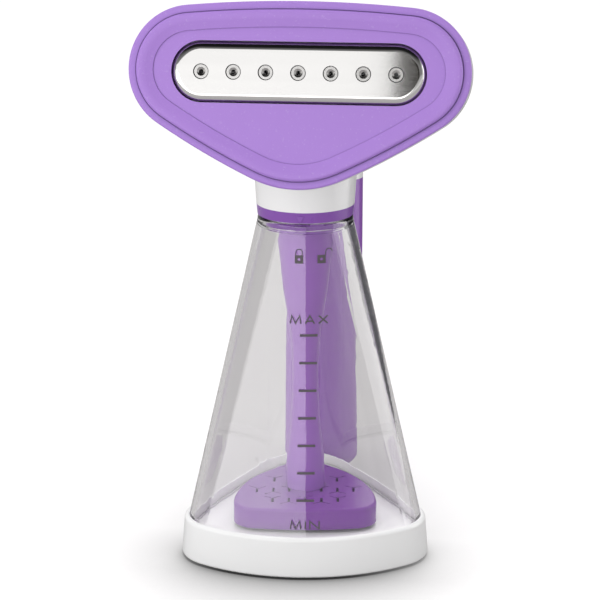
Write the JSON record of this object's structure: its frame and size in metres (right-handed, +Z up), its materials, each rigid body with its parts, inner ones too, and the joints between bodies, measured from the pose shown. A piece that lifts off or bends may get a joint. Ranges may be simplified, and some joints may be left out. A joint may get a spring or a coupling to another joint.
{
  "type": "garment steamer",
  "caption": "Hand-held garment steamer: wide steam head with a nozzle plate, clear twist-off tank on a white base, boiler foot on a stem, and a handle behind.",
  "frame": {"origin": "on the table, under the middle of the tank's mouth, on the underside of the base pad", "axes": "+Z up, the steam head faces -Y, +X to the right of someone facing the steam head"},
  "size_m": [0.155, 0.1511, 0.2651],
  "materials": {
    "face_purple": "matte, fine grain",
    "purple": "gloss",
    "white": "gloss",
    "clear": "clear moulded plastic",
    "steel": "polished",
    "grey_metal": "brushed",
    "aluminium": "cast",
    "silicone": "soft",
    "black_rubber": "matte",
    "black": "fine grain",
    "natural": "matte",
    "lens": "clear red",
    "lead": "insulated wire"
  },
  "bodies": {
    "steamer": {"spigot": "purple", "lock_ring": "purple", "mouth_seal": "silicone", "pickup_stem": "purple", "foot_cover": "purple", "foot_pan": "purple", "heating_element": "grey_metal", "thermostat": "grey_metal", "thermal_fuse": "natural", "steam_pipe": "silicone", "lead_wires": "lead", "head_face": "face_purple", "steam_plate": "steel", "steam_nozzles": "steel", "plate_gasket": "silicone", "steam_chamber": "aluminium", "chamber_screws": "grey_metal", "housing_left": "white", "housing_right": "white", "housing_screws": "grey_metal", "handle_front": "purple", "handle_rear": "purple", "handle_screws": "grey_metal", "switch_body": "black", "pilot_lens": "lens", "pilot_lamp": "natural", "cord_gland": "black", "terminal_block": "natural"},
    "tank": {"base_pad": "black_rubber", "base_plate": "white", "tank_base": "white", "skirt_seal": "silicone", "tank_shell": "clear"},
    "rocker": {"switch_rocker": "black"}
  },
  "joints": [
    {"name": "tank_twist", "type": "hinge", "parent": "steamer", "child": "tank", "pos_m": [0, 0, 0.16], "axis": [0, 0, 1], "range_deg": [-21, 0]},
    {"name": "rocker_tip", "type": "hinge", "parent": "steamer", "child": "rocker", "pos_m": [0, 0.09197, 0.134], "axis": [1, 0, 0], "range_deg": [0, 14]}
  ]
}
